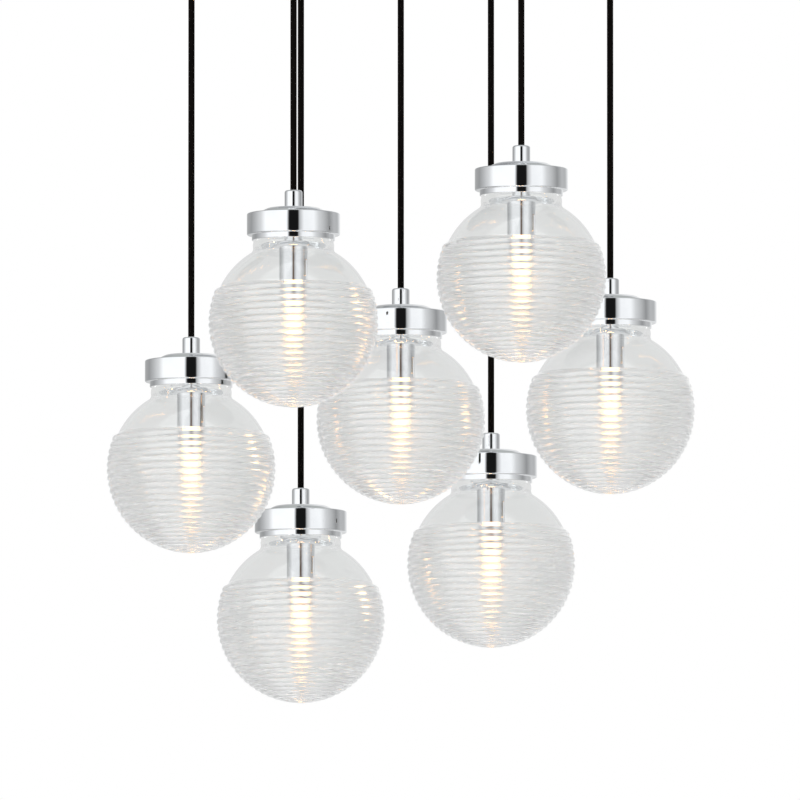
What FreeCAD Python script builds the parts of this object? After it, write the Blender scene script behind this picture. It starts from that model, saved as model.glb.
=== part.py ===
"""Cluster pendant: seven ribbed glass globes on straight cords under one round ceiling canopy.

Millimetres, +Z up. The origin is the centre of the canopy on the ceiling, so the ceiling is Z = 0
and the lamps hang below it. X runs from left to right and -Y is the front.
Each lamp is drawn around the centre of its globe and then moved to its place.
"""
import FreeCAD, Part
import os
from math import asin, cos, degrees, hypot, radians, sin, sqrt, tan

# Layout: six cord outlets on one circle, one in the middle.
OUTLET_CIRCLE_RADIUS = 186.0
LOWEST_GLOBE_DROP = 605.0   # from the ceiling to the centre of the lowest globe
CENTRE = None
# position: (angle on the outlet circle in degrees, height of its globe above the lowest one)
LAMPS = {
    "front_left": (239.4, 234.0),
    "front_right": (304.9, 274.5),
    "centre": (CENTRE, 163.0),
    "left": (180.0, 119.5),
    "right": (0.0, 172.0),
    "back_left": (118.7, 0.0),
    "back_right": (64.3, 50.0),
}

# Fits
GAP = 0.3               # running clearance, and a glass neck in its collar
THREAD_GAP = 0.1        # a screwed or bolted piece in its hole

# Globe: a glass sphere with horizontal ribs below a plain shoulder, and a screw neck
GLOBE_RADIUS = 75.0     # over the rib crests
RIB_DEPTH = 1.7
RIB_COUNT = 24
RIB_TOP_ANGLE = 23.7    # degrees above the globe's middle
RIB_BOTTOM_ANGLE = -87.9
SHOULDER_RADIUS = 72.0  # the plain glass above the ribs
GLOBE_BORE_RADIUS = 70.0
NECK_RADIUS = 34.8      # outside, where it screws into the cap
NECK_WALL = 3.0
NECK_BULGE = 1.1        # the neck swells by this much below the cap
CREASE_HEIGHT = 62.8    # where the neck meets the sphere
RIM_HEIGHT = 86.0

# Cap: a turned chrome cover over the neck
CAP_RADIUS = 41.1
CAP_WALL = 1.5
CAP_COLLAR_BOTTOM = 72.6
CAP_COLLAR_HEIGHT = 4.6
CAP_COLLAR_WALL = 1.6
CAP_BAND_HEIGHT = 19.3
CAP_EDGE_RADIUS = 1.2
DOME_RADIUS = 29.3
DOME_SHOULDER_RADIUS = 23.0
DOME_HEIGHT = 5.5
DOME_FLAT_RADIUS = 9.0  # the seat of the cord grip

# Cord and its grips
CORD_RADIUS = 2.8
GRIP_RADIUS = 7.85
GRIP_HEIGHT = 15.1
GRIP_EDGE_RADIUS = 2.0
PIVOT_DEPTH = 8.0       # the cord bends this far inside the mouth of a grip
MOUTH_FLARE = 12.0      # degrees, a little more than the swing of the cord
NIPPLE_RADIUS = 5.0
LAMP_NIPPLE_LENGTH = 13.0
OUTLET_GRIP_RADIUS = 7.0
OUTLET_GRIP_HEIGHT = 15.0
OUTLET_NIPPLE_LENGTH = 8.0
OUTLET_NUT_FLATS = 14.0
OUTLET_NUT_HEIGHT = 4.0

# Chrome sleeve with its flange and stem, and the lampholder in it
SLEEVE_RADIUS = 12.5
SLEEVE_WALL = 0.8
SLEEVE_BOTTOM = 30.0
FLANGE_RADIUS = 18.5
FLANGE_TOP = 70.0
FLANGE_THICKNESS = 1.5
STEM_RADIUS = 8.0
VENT_WIDTH = 4.6
VENT_BOTTOM = 36.0
VENT_TOP = 56.0
VENT_ANGLE = -32.0      # degrees from +X, towards the front
LAMPHOLDER_HEIGHT = 27.0
LEAD_WIRE_RADIUS = 1.0
LEAD_WIRE_SPACING = 2.6

# Capsule bulb with a flat pinched base
BULB_RADIUS = 7.7
BULB_BOTTOM = -13.0
BULB_BASE_WIDTH = 14.4
BULB_BASE_THICKNESS = 6.4
BULB_BASE_HEIGHT = 10.0

# Ceiling canopy
CANOPY_RADIUS = 220.0
CANOPY_HEIGHT = 28.0
CANOPY_WALL = 1.5
CANOPY_EDGE_RADIUS = 6.0

# Ceiling bracket: a steel strap along X with two slots for the ceiling screws
BRACKET_LENGTH = 280.0
BRACKET_WIDTH = 30.0
BRACKET_THICKNESS = 2.0
BRACKET_CORNER_RADIUS = 6.0
CEILING_SLOT_SPACING = 190.0
CEILING_SLOT_WIDTH = 5.0
CEILING_SLOT_LENGTH = 20.0
SUPPLY_HOLE_X = -32.0
SUPPLY_HOLE_RADIUS = 10.0

# Studs that carry the canopy, and their domed nuts
STUD_SPACING = 246.0    # along the bracket
STUD_OFFSET = 10.0      # across it, one stud to each side, clear of the leads
STUD_RADIUS = 2.0
CAP_NUT_RADIUS = 5.5
CAP_NUT_SKIRT = 3.5

# Terminal block under the bracket, with one pole for each pair of opposite leads
BLOCK_X = 20.0          # its left face
BLOCK_WIDTH = 22.0
BLOCK_HEIGHT = 13.0
POLE_PITCH = 12.0
POLE_COUNT = 5
LEAD_LEVEL = -8.5       # centre line of the leads where they run level
ENTRY_DEPTH = 8.0
LEAD_IN_ENTRY = 6.0
TERMINAL_SCREW_RADIUS = 1.8
TERMINAL_SCREW_LENGTH = 2.6
TERMINAL_SCREW_INSET = 5.0
BLOCK_SCREW_RADIUS = 1.5
BLOCK_SCREW_HEAD_RADIUS = 2.8
BLOCK_SCREW_HEAD_HEIGHT = 1.8
EARTH_SCREW_X = -60.0
EARTH_SCREW_RADIUS = 2.0
EARTH_SCREW_HEAD_RADIUS = 4.0
EARTH_SCREW_HEAD_HEIGHT = 2.6

# Leads in the canopy: the pole each one enters, from which side, and the knees on its way in plan
LEADS = {
    "front_left": (-2, "left", [(-14.0, -24.0)]),
    "front_right": (-2, "right", [(78.0, -24.0)]),
    "centre": (0, "left", []),
    "left": (1, "left", [(-100.0, 15.0), (-30.0, 12.0)]),
    "right": (0, "right", []),
    "back_left": (2, "left", [(-14.0, 24.0)]),
    "back_right": (2, "right", [(78.0, 24.0)]),
}
BEND_SHARE = 0.45       # of the shorter of two runs that the arc between them may take

# Values worked out from the sizes above
UP = FreeCAD.Vector(0, 0, 1)
ORIGIN = FreeCAD.Vector(0, 0, 0)
CAP_BAND_BOTTOM = CAP_COLLAR_BOTTOM + CAP_COLLAR_HEIGHT
CAP_BAND_TOP = CAP_BAND_BOTTOM + CAP_BAND_HEIGHT
CAP_TOP = CAP_BAND_TOP + DOME_HEIGHT
CAP_UNDERSIDE = CAP_TOP - CAP_WALL
COLLAR_BORE_RADIUS = NECK_RADIUS + GAP
CORD_BORE_RADIUS = CORD_RADIUS + GAP
NIPPLE_HOLE_RADIUS = NIPPLE_RADIUS + THREAD_GAP
LAMP_PIVOT = CAP_TOP + GRIP_HEIGHT - PIVOT_DEPTH
FLANGE_UNDERSIDE = FLANGE_TOP - FLANGE_THICKNESS
SLEEVE_BORE_RADIUS = SLEEVE_RADIUS - SLEEVE_WALL
LAMPHOLDER_BOTTOM = FLANGE_UNDERSIDE - LAMPHOLDER_HEIGHT
CANOPY_UNDERSIDE = -CANOPY_HEIGHT
CANOPY_FLOOR = CANOPY_UNDERSIDE + CANOPY_WALL
OUTLET_MOUTH = CANOPY_UNDERSIDE - OUTLET_GRIP_HEIGHT
OUTLET_PIVOT = OUTLET_MOUTH + PIVOT_DEPTH
LEAD_START = OUTLET_PIVOT + CORD_RADIUS + GAP
BLOCK_TOP = -BRACKET_THICKNESS
BLOCK_BOTTOM = BLOCK_TOP - BLOCK_HEIGHT


def rz(point):
    """The 3D point of an outline point (radius, height)."""
    return FreeCAD.Vector(point[0], 0, point[1])


def on_circle(centre, radius, angle):
    """The outline point at an angle in degrees on a circle."""
    return (centre[0] + radius * cos(radians(angle)), centre[1] + radius * sin(radians(angle)))


def arc(centre, radius, start, end):
    """An outline step: an arc about a centre, from one angle in degrees to another."""
    return (on_circle(centre, radius, (start + end) / 2), on_circle(centre, radius, end))


def outline_face(start, steps):
    """Face in the XZ plane. A step is an end point, or a pair (point passed, end point) for an arc."""
    edges = []
    here = start
    for step in list(steps) + [start]:
        is_arc = isinstance(step[0], tuple)
        end = step[1] if is_arc else step
        if is_arc:
            edges.append(Part.Arc(rz(here), rz(step[0]), rz(end)).toShape())
        elif hypot(end[0] - here[0], end[1] - here[1]) > 1e-6:
            edges.append(Part.LineSegment(rz(here), rz(end)).toShape())
        here = end
    return Part.Face(Part.Wire(edges))


def turned(start, steps):
    """Solid turned about Z from an outline."""
    return outline_face(start, steps).revolve(ORIGIN, UP, 360)


def cylinder(radius, bottom, top, x=0.0, y=0.0):
    """Upright cylinder between two heights."""
    return Part.makeCylinder(radius, top - bottom, FreeCAD.Vector(x, y, bottom))


def block(x0, x1, y0, y1, z0, z1):
    """Box between two corners."""
    return Part.makeBox(x1 - x0, y1 - y0, z1 - z0, FreeCAD.Vector(x0, y0, z0))


def outlet_place(position):
    """Plan position of a lamp's cord outlet in the canopy."""
    angle = LAMPS[position][0]
    return (0.0, 0.0) if angle is CENTRE else on_circle((0, 0), OUTLET_CIRCLE_RADIUS, angle)


def globe_height(position):
    """Height of a globe's centre, below the ceiling and so negative."""
    return LAMPS[position][1] - LOWEST_GLOBE_DROP


# ---- Lamp ----

def rib_outline():
    """Outline steps down the ribs: straight flanks between grooves and crests, evenly spaced in latitude."""
    groove_radius = GLOBE_RADIUS - RIB_DEPTH
    pitch = (RIB_TOP_ANGLE - RIB_BOTTOM_ANGLE) / RIB_COUNT
    steps = []
    for rib in range(RIB_COUNT):
        crest = RIB_TOP_ANGLE - (rib + 0.5) * pitch
        groove = RIB_TOP_ANGLE - (rib + 1) * pitch
        steps.append(on_circle((0, 0), GLOBE_RADIUS, crest))
        steps.append(on_circle((0, 0), groove_radius, groove))
    return steps


def make_globe():
    """Hollow glass sphere, ribbed from just above its middle to the bottom, with a swelling neck."""
    crease_latitude = degrees(asin(CREASE_HEIGHT / SHOULDER_RADIUS))
    crease = on_circle((0, 0), SHOULDER_RADIUS, crease_latitude)
    neck_bore_radius = NECK_RADIUS - NECK_WALL
    bore_latitude = degrees(asin(sqrt(1 - (neck_bore_radius / GLOBE_BORE_RADIUS) ** 2)))
    lip_radius = NECK_WALL / 2
    lip_centre = (NECK_RADIUS - lip_radius, RIM_HEIGHT - lip_radius)
    bulge_height = (CREASE_HEIGHT + CAP_COLLAR_BOTTOM) / 2
    steps = [arc((0, 0), SHOULDER_RADIUS, crease_latitude, RIB_TOP_ANGLE)]
    steps += rib_outline()
    steps += [
        (0, steps[-1][1]),
        (0, -GLOBE_BORE_RADIUS),
        arc((0, 0), GLOBE_BORE_RADIUS, -90, bore_latitude),
        (neck_bore_radius, lip_centre[1]),
        arc(lip_centre, lip_radius, 180, 0),
        (NECK_RADIUS, CAP_COLLAR_BOTTOM),
        ((NECK_RADIUS + NECK_BULGE, bulge_height), crease),
    ]
    return turned(crease, steps)


def make_cap():
    """Chrome cap: a collar round the glass neck, a wide band and a shallow dome, one wall thick."""
    edge = CAP_EDGE_RADIUS
    inner_edge = CAP_RADIUS - CAP_WALL
    collar_radius = COLLAR_BORE_RADIUS + CAP_COLLAR_WALL
    low_centre = (CAP_RADIUS - edge, CAP_BAND_BOTTOM + edge)
    high_centre = (CAP_RADIUS - edge, CAP_BAND_TOP - edge)
    dome_start = (DOME_RADIUS, CAP_BAND_TOP)
    dome_shoulder = (DOME_SHOULDER_RADIUS, CAP_TOP - DOME_HEIGHT * 0.16)
    dome_middle = ((DOME_RADIUS + DOME_SHOULDER_RADIUS) / 2 + 0.6, CAP_TOP - DOME_HEIGHT * 0.48)
    steps = [
        (collar_radius, CAP_COLLAR_BOTTOM),
        (collar_radius, CAP_BAND_BOTTOM),
        (CAP_RADIUS - edge, CAP_BAND_BOTTOM),
        arc(low_centre, edge, -90, 0),
        (CAP_RADIUS, CAP_BAND_TOP - edge),
        arc(high_centre, edge, 0, 90),
        dome_start,
        (dome_middle, dome_shoulder),
        (DOME_FLAT_RADIUS, CAP_TOP),
        (NIPPLE_HOLE_RADIUS, CAP_TOP),
        (NIPPLE_HOLE_RADIUS, CAP_UNDERSIDE),
        (DOME_FLAT_RADIUS, CAP_UNDERSIDE),
        (DOME_SHOULDER_RADIUS - CAP_WALL / 2, dome_shoulder[1] - CAP_WALL),
        (DOME_RADIUS - CAP_WALL, CAP_BAND_TOP - CAP_WALL),
        (inner_edge, CAP_BAND_TOP - CAP_WALL),
        (inner_edge, CAP_BAND_BOTTOM + CAP_WALL),
        (COLLAR_BORE_RADIUS, CAP_BAND_BOTTOM + CAP_WALL),
    ]
    return turned((COLLAR_BORE_RADIUS, CAP_COLLAR_BOTTOM), steps)


def grip_outline(radius, seat, mouth, nipple_end):
    """Start and steps of a cord grip: a round-edged body from seat to mouth, a flared bore, a nipple."""
    way = 1 if mouth > seat else -1
    edge = GRIP_EDGE_RADIUS
    edge_centre = (radius - edge, mouth - way * edge)
    mouth_radius = CORD_BORE_RADIUS + PIVOT_DEPTH * tan(radians(MOUTH_FLARE))
    steps = [
        (radius, seat),
        (radius, mouth - way * edge),
        arc(edge_centre, edge, 0, way * 90),
        (mouth_radius, mouth),
        (CORD_BORE_RADIUS, mouth - way * PIVOT_DEPTH),
        (CORD_BORE_RADIUS, nipple_end),
        (NIPPLE_RADIUS, nipple_end),
    ]
    return (NIPPLE_RADIUS, seat), steps


def make_cord_grip():
    """Grip on top of the cap, with a hollow nipple that screws down into the stem of the sleeve."""
    mouth = CAP_TOP + GRIP_HEIGHT
    return turned(*grip_outline(GRIP_RADIUS, CAP_TOP, mouth, CAP_TOP - LAMP_NIPPLE_LENGTH))


def make_sleeve():
    """Chrome sleeve, open below, with a flange and a stem that clamps the cap, and two vent slots."""
    steps = [
        (NIPPLE_HOLE_RADIUS, FLANGE_UNDERSIDE),
        (SLEEVE_BORE_RADIUS, FLANGE_UNDERSIDE),
        (SLEEVE_BORE_RADIUS, SLEEVE_BOTTOM),
        (SLEEVE_RADIUS, SLEEVE_BOTTOM),
        (SLEEVE_RADIUS, FLANGE_UNDERSIDE),
        (FLANGE_RADIUS, FLANGE_UNDERSIDE),
        (FLANGE_RADIUS, FLANGE_TOP),
        (STEM_RADIUS, FLANGE_TOP),
        (STEM_RADIUS, CAP_UNDERSIDE),
    ]
    sleeve = turned((NIPPLE_HOLE_RADIUS, CAP_UNDERSIDE), steps)
    return sleeve.cut(vent_cutter())


def vent_cutter():
    """Upright round-ended slot through both sides of the sleeve."""
    half = VENT_WIDTH / 2
    low = (0, VENT_BOTTOM + half)
    high = (0, VENT_TOP - half)
    steps = [arc(low, half, 180, 360), (half, high[1]), arc(high, half, 0, 180)]
    face = outline_face((-half, low[1]), steps)
    cutter = face.extrude(FreeCAD.Vector(0, 2 * SLEEVE_RADIUS + 2, 0))
    cutter.translate(FreeCAD.Vector(0, -SLEEVE_RADIUS - 1, 0))
    cutter.rotate(ORIGIN, UP, 90 + VENT_ANGLE)
    return cutter


def make_lampholder():
    """Ceramic lampholder: a round body with a slot for the bulb's base, and its two fixed wires."""
    body = cylinder(SLEEVE_BORE_RADIUS - GAP, LAMPHOLDER_BOTTOM, FLANGE_UNDERSIDE)
    half_width = BULB_BASE_WIDTH / 2 + GAP
    half_thickness = BULB_BASE_THICKNESS / 2 + GAP
    slot_top = LAMPHOLDER_BOTTOM + BULB_BASE_HEIGHT + GAP
    slot = block(-half_width, half_width, -half_thickness, half_thickness, LAMPHOLDER_BOTTOM - 1, slot_top)
    wire_top = LAMP_PIVOT - CORD_RADIUS - GAP
    wire_bottom = (FLANGE_UNDERSIDE + slot_top) / 2
    wire_x = LEAD_WIRE_SPACING / 2
    wires = [cylinder(LEAD_WIRE_RADIUS, wire_bottom, wire_top, x=x) for x in (-wire_x, wire_x)]
    return body.cut(slot).fuse(wires).removeSplitter()


def make_bulb():
    """Capsule bulb: a round-ended glass tube with a flat base in the lampholder's slot."""
    glass = turned((0, LAMPHOLDER_BOTTOM - GAP), [
        (0, BULB_BOTTOM),
        arc((0, BULB_BOTTOM + BULB_RADIUS), BULB_RADIUS, -90, 0),
        (BULB_RADIUS, LAMPHOLDER_BOTTOM - GAP),
    ])
    half_width = BULB_BASE_WIDTH / 2
    half_thickness = BULB_BASE_THICKNESS / 2
    base = block(-half_width, half_width, -half_thickness, half_thickness,
                 LAMPHOLDER_BOTTOM - BULB_RADIUS, LAMPHOLDER_BOTTOM + BULB_BASE_HEIGHT)
    return glass.fuse(base).removeSplitter()


def make_cord(bottom):
    """Straight cord from the pivot in its outlet down to a pivot in the lamp's grip, with round ends."""
    middle = (OUTLET_PIVOT + bottom) / 2
    return turned((0, bottom - CORD_RADIUS), [
        arc((0, bottom), CORD_RADIUS, -90, 0),
        (CORD_RADIUS, middle),
        (CORD_RADIUS, OUTLET_PIVOT),
        arc((0, OUTLET_PIVOT), CORD_RADIUS, 0, 90),
    ])


# ---- Canopy ----

def make_canopy_cover():
    """Round chrome pan, open towards the ceiling, with holes for the outlets and the studs."""
    edge = CANOPY_EDGE_RADIUS
    edge_centre = (CANOPY_RADIUS - edge, CANOPY_UNDERSIDE + edge)
    inner = CANOPY_RADIUS - CANOPY_WALL
    pan = turned((0, CANOPY_UNDERSIDE), [
        (CANOPY_RADIUS - edge, CANOPY_UNDERSIDE),
        arc(edge_centre, edge, -90, 0),
        (CANOPY_RADIUS, 0),
        (inner, 0),
        (inner, CANOPY_UNDERSIDE + edge),
        arc(edge_centre, edge - CANOPY_WALL, 0, -90),
        (0, CANOPY_FLOOR),
    ])
    bottom, top = CANOPY_UNDERSIDE - 1, CANOPY_FLOOR + 1
    holes = [cylinder(NIPPLE_HOLE_RADIUS, bottom, top, *outlet_place(position)) for position in LAMPS]
    holes += [cylinder(STUD_RADIUS + THREAD_GAP, bottom, top, x=x, y=y) for x, y in stud_places()]
    return pan.cut(holes)


def stud_places():
    """Plan positions of the two studs."""
    return [(side * STUD_SPACING / 2, side * STUD_OFFSET) for side in (-1, 1)]


def make_outlet_grip():
    """Grip under the canopy where a cord leaves it, mouth down, nipple up through the canopy."""
    nipple_end = CANOPY_FLOOR + OUTLET_NIPPLE_LENGTH
    return turned(*grip_outline(OUTLET_GRIP_RADIUS, CANOPY_UNDERSIDE, OUTLET_MOUTH, nipple_end))


def make_outlet_nut():
    """Hexagon nut on a nipple, on the canopy's floor."""
    corner_radius = OUTLET_NUT_FLATS / 2 / cos(radians(30))
    corners = [on_circle((0, 0), corner_radius, angle) for angle in range(0, 361, 60)]
    outline = Part.makePolygon([FreeCAD.Vector(x, y, CANOPY_FLOOR) for x, y in corners])
    nut = Part.Face(outline).extrude(UP * OUTLET_NUT_HEIGHT)
    return nut.cut(cylinder(NIPPLE_HOLE_RADIUS, CANOPY_FLOOR - 1, CANOPY_FLOOR + OUTLET_NUT_HEIGHT + 1))


def ceiling_slot_cutter(x):
    """Round-ended slot along X through the bracket."""
    half = CEILING_SLOT_WIDTH / 2
    reach = CEILING_SLOT_LENGTH / 2 - half
    ends = [cylinder(half, -BRACKET_THICKNESS - 1, 1, x=x + side * reach) for side in (-1, 1)]
    return block(x - reach, x + reach, -half, half, -BRACKET_THICKNESS - 1, 1).fuse(ends)


def make_bracket():
    """Steel strap against the ceiling: two slots, the supply hole, and holes for studs and screws."""
    half_length = BRACKET_LENGTH / 2
    half_width = BRACKET_WIDTH / 2
    strap = block(-half_length, half_length, -half_width, half_width, -BRACKET_THICKNESS, 0)
    corners = [e for e in strap.Edges if abs(e.BoundBox.ZLength - BRACKET_THICKNESS) < 1e-6]
    strap = strap.makeFillet(BRACKET_CORNER_RADIUS, corners)
    cutters = [ceiling_slot_cutter(side * CEILING_SLOT_SPACING / 2) for side in (-1, 1)]
    holes = [(x, y, STUD_RADIUS + THREAD_GAP) for x, y in stud_places()]
    holes += [(x, y, BLOCK_SCREW_RADIUS + THREAD_GAP) for x, y in block_screw_places()]
    holes.append((EARTH_SCREW_X, 0.0, EARTH_SCREW_RADIUS + THREAD_GAP))
    holes.append((SUPPLY_HOLE_X, 0.0, SUPPLY_HOLE_RADIUS))
    cutters += [cylinder(radius, -BRACKET_THICKNESS - 1, 1, x=x, y=y) for x, y, radius in holes]
    return strap.cut(cutters)


def make_studs():
    """Two threaded studs, flush with the bracket's top, down through the canopy."""
    return [cylinder(STUD_RADIUS, CANOPY_UNDERSIDE - CAP_NUT_SKIRT, 0, x=x, y=y) for x, y in stud_places()]


def make_cap_nuts():
    """Domed nuts on the studs, against the canopy's underside."""
    bottom = CANOPY_UNDERSIDE - CAP_NUT_SKIRT
    hole = STUD_RADIUS + THREAD_GAP
    nut = turned((hole, CANOPY_UNDERSIDE), [
        (CAP_NUT_RADIUS, CANOPY_UNDERSIDE),
        (CAP_NUT_RADIUS, bottom),
        arc((0, bottom), CAP_NUT_RADIUS, 0, -90),
        (0, bottom - THREAD_GAP),
        (hole, bottom - THREAD_GAP),
    ])
    return [nut.translated(FreeCAD.Vector(x, y, 0)) for x, y in stud_places()]


def pole_y(pole):
    """Y of a pole of the terminal block, counted from the middle one."""
    return pole * POLE_PITCH


def poles():
    """The poles' numbers, the middle one being 0."""
    return range(-(POLE_COUNT // 2), POLE_COUNT // 2 + 1)


def terminal_places():
    """Plan positions of the terminal screws: one at each end of each pole."""
    xs = (BLOCK_X + TERMINAL_SCREW_INSET, BLOCK_X + BLOCK_WIDTH - TERMINAL_SCREW_INSET)
    return [(x, pole_y(pole)) for x in xs for pole in poles()]


def block_screw_places():
    """Plan positions of the two screws that hold the block: beside the middle pole."""
    return [(BLOCK_X + BLOCK_WIDTH / 2, side * POLE_PITCH / 2) for side in (-1, 1)]


def make_terminal_block():
    """Terminal block with an entry at both ends of each pole and holes for its screws."""
    half_length = POLE_COUNT * POLE_PITCH / 2
    body = block(BLOCK_X, BLOCK_X + BLOCK_WIDTH, -half_length, half_length, BLOCK_BOTTOM, BLOCK_TOP)
    cutters = []
    for pole in poles():
        for x, way in ((BLOCK_X, 1), (BLOCK_X + BLOCK_WIDTH, -1)):
            mouth = FreeCAD.Vector(x, pole_y(pole), LEAD_LEVEL)
            cutters.append(Part.makeCylinder(CORD_BORE_RADIUS, ENTRY_DEPTH, mouth, FreeCAD.Vector(way, 0, 0)))
    for x, y in terminal_places():
        depth_end = BLOCK_BOTTOM + TERMINAL_SCREW_LENGTH
        cutters.append(cylinder(TERMINAL_SCREW_RADIUS + THREAD_GAP, BLOCK_BOTTOM - 1, depth_end, x=x, y=y))
    for x, y in block_screw_places():
        cutters.append(cylinder(BLOCK_SCREW_RADIUS + THREAD_GAP, BLOCK_BOTTOM - 1, BLOCK_TOP + 1, x=x, y=y))
    return body.cut(cutters)


def make_terminal_screws():
    """Grub screws of the terminal block, flush with its underside."""
    return [cylinder(TERMINAL_SCREW_RADIUS, BLOCK_BOTTOM, BLOCK_BOTTOM + TERMINAL_SCREW_LENGTH, x=x, y=y)
            for x, y in terminal_places()]


def headed_screw(radius, head_radius, head_height, head_top):
    """Screw with a round head below head_top and a shank up to the bracket's top."""
    head = cylinder(head_radius, head_top - head_height, head_top)
    return cylinder(radius, head_top, 0).fuse(head)


def make_block_screws():
    """Two screws up through the terminal block into the bracket."""
    screw = headed_screw(BLOCK_SCREW_RADIUS, BLOCK_SCREW_HEAD_RADIUS, BLOCK_SCREW_HEAD_HEIGHT, BLOCK_BOTTOM)
    return [screw.translated(FreeCAD.Vector(x, y, 0)) for x, y in block_screw_places()]


def make_earth_screw():
    """Earth screw in the bracket."""
    screw = headed_screw(EARTH_SCREW_RADIUS, EARTH_SCREW_HEAD_RADIUS, EARTH_SCREW_HEAD_HEIGHT, BLOCK_TOP)
    return screw.translated(FreeCAD.Vector(EARTH_SCREW_X, 0, 0))


def tube_along(points, radius):
    """Round tube along straight runs joined by tangent arcs, each as large as its two runs allow."""
    edges = []
    start = points[0]
    for before, corner, after in zip(points, points[1:], points[2:]):
        back = (before - corner).normalize()
        ahead = (after - corner).normalize()
        half_turn = (FreeCAD.Vector(-back).getAngle(ahead)) / 2
        shorter_run = min(before.distanceToPoint(corner), corner.distanceToPoint(after))
        reach = BEND_SHARE * shorter_run
        bend_radius = reach / tan(half_turn)
        into, out = corner + back * reach, corner + ahead * reach
        inward = (back + ahead).normalize()
        middle = corner + inward * (bend_radius / cos(half_turn) - bend_radius)
        edges += [Part.LineSegment(start, into).toShape(), Part.Arc(into, middle, out).toShape()]
        start = out
    edges.append(Part.LineSegment(start, points[-1]).toShape())
    path = Part.Wire(edges)
    section = Part.Wire(Part.makeCircle(radius, points[0], points[1] - points[0]))
    return path.makePipeShell([section], True, False)


def make_leads():
    """The cords inside the canopy, from their outlets over its floor into the terminal block."""
    leads = []
    for position, (pole, side, knees) in LEADS.items():
        x, y = outlet_place(position)
        face, way = (BLOCK_X, 1) if side == "left" else (BLOCK_X + BLOCK_WIDTH, -1)
        points = [FreeCAD.Vector(x, y, LEAD_START), FreeCAD.Vector(x, y, LEAD_LEVEL)]
        points += [FreeCAD.Vector(knee_x, knee_y, LEAD_LEVEL) for knee_x, knee_y in knees]
        points.append(FreeCAD.Vector(face + way * LEAD_IN_ENTRY, pole_y(pole), LEAD_LEVEL))
        leads.append(tube_along(points, CORD_RADIUS))
    return leads


# ---- Assembly ----

def make_nodes():
    """Every node's shape by name."""
    nodes = {
        "canopy_cover": make_canopy_cover(),
        "ceiling_bracket": make_bracket(),
        "canopy_studs": Part.makeCompound(make_studs()),
        "canopy_cap_nuts": Part.makeCompound(make_cap_nuts()),
        "terminal_block": make_terminal_block(),
        "terminal_screws": Part.makeCompound(make_terminal_screws()),
        "terminal_block_screws": Part.makeCompound(make_block_screws()),
        "earth_screw": make_earth_screw(),
        "canopy_leads": Part.makeCompound(make_leads()),
    }
    places = [FreeCAD.Vector(*outlet_place(position), 0) for position in LAMPS]
    for name, shape in (("outlet_grips", make_outlet_grip()), ("outlet_nuts", make_outlet_nut())):
        nodes[name] = Part.makeCompound([shape.translated(place) for place in places])
    lamp = {
        "cord_grip": make_cord_grip(),
        "cap": make_cap(),
        "globe": make_globe(),
        "lamp_sleeve": make_sleeve(),
        "lampholder": make_lampholder(),
        "bulb": make_bulb(),
    }
    for position, place in zip(LAMPS, places):
        height = globe_height(position)
        nodes[f"cord_{position}"] = make_cord(height + LAMP_PIVOT).translated(place)
        for name, shape in lamp.items():
            nodes[f"{name}_{position}"] = shape.translated(place + UP * height)
    return nodes


def main():
    os.makedirs("parts", exist_ok=True)
    for name, shape in make_nodes().items():
        shape.exportStep(f"parts/{name}.step")
        volumes = [solid.Volume for solid in shape.Solids]
        print(f"{name}: {len(volumes)} solid(s), {sum(volumes):.0f} mm3, valid {shape.isValid()}")


main()
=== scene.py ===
"""Looks of the cluster pendant: seven ribbed glass globes on straight cords under a round ceiling canopy.

Metres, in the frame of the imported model. Outlines of turned pieces are in millimetres, as pairs of radius
and height, from the centre of the globe for the pieces of a lamp and from the origin for the canopy.
"""
from functools import partial
from math import asin, atan2, cos, degrees, pi, radians, sin, sqrt, tan

import bmesh
import bpy
from mathutils import Matrix, Vector


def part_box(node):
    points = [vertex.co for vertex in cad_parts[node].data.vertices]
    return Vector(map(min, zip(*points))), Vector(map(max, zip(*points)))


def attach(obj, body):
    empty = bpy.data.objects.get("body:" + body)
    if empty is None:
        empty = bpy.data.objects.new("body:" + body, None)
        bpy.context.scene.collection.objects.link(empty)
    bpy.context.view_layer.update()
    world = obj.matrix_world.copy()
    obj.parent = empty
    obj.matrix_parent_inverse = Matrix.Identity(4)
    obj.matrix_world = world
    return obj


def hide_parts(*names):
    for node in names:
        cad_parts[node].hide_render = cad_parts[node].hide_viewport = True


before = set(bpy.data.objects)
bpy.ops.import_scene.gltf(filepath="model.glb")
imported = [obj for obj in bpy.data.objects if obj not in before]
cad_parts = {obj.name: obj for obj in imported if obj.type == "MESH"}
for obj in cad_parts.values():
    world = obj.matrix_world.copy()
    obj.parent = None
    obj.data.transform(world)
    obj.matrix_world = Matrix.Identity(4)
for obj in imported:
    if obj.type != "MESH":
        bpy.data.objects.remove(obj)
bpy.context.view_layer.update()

MM = 0.001

# ---- Sizes of the lamp, in millimetres ----

GLOBE_RADIUS = 75.0
RIB_DEPTH = 1.7
RIB_COUNT = 24
RIB_TOP_LATITUDE = 23.7
RIB_BOTTOM_LATITUDE = -87.9
RIB_STEPS = 10
SHOULDER_RADIUS = 72.0
SHOULDER_GAP_DEGREES = 0.6
GLOBE_BORE_RADIUS = 70.0
NECK_RADIUS = 34.8
NECK_WALL = 3.0
NECK_BULGE = 1.1
CREASE_HEIGHT = 62.8
CREASE_FILLET = 3.5
BORE_FILLET = 5.0
RIM_HEIGHT = 86.0
OUTER_GLASS_TOP = 31.0

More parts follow.
